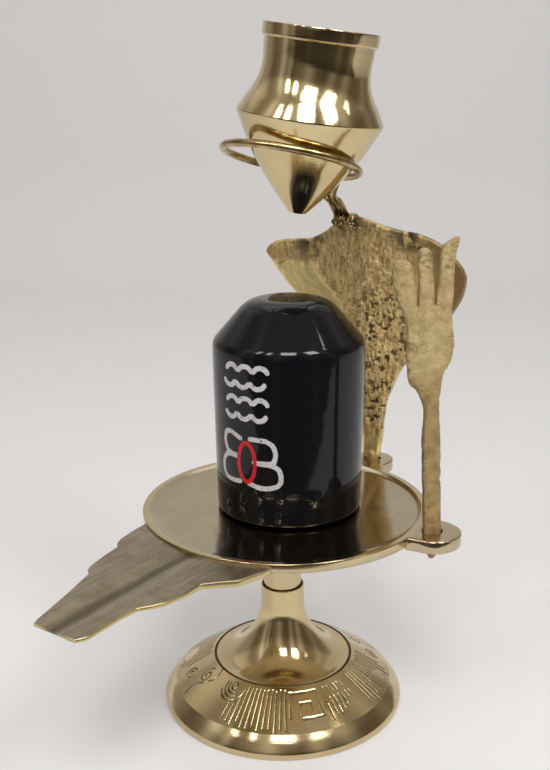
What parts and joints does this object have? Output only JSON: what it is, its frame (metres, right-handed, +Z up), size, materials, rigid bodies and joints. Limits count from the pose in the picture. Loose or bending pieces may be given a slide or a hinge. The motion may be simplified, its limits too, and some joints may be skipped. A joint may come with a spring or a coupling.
{
  "type": "shiva lingam stand",
  "caption": "Black shiva lingam on a spouted brass dish and turned foot, with a cast hood, a trident and a drip pot hung over it.",
  "frame": {"origin": "middle of the whole's box, on the surface it stands on; the turned foot's axis is at +X 0.5 mm, +Y 14.0 mm", "axes": "+Z up along the foot's and the lingam's axis; the spout points to -X -Y, the trident stands at +X -Y and the hood at +X +Y"},
  "size_m": [0.085, 0.0934, 0.15],
  "materials": {
    "turned_brass": "turned and polished",
    "brushed_brass": "turned and brushed",
    "cast_brass": "rough cast",
    "black_stone": "polished"
  },
  "bodies": {
    "root": {"turned_foot": "turned_brass", "spouted_dish": "brushed_brass", "lingam": "black_stone", "cobra_hood": "cast_brass", "trident": "cast_brass", "drip_pot": "turned_brass", "wire_loop": "turned_brass"}
  },
  "joints": []
}
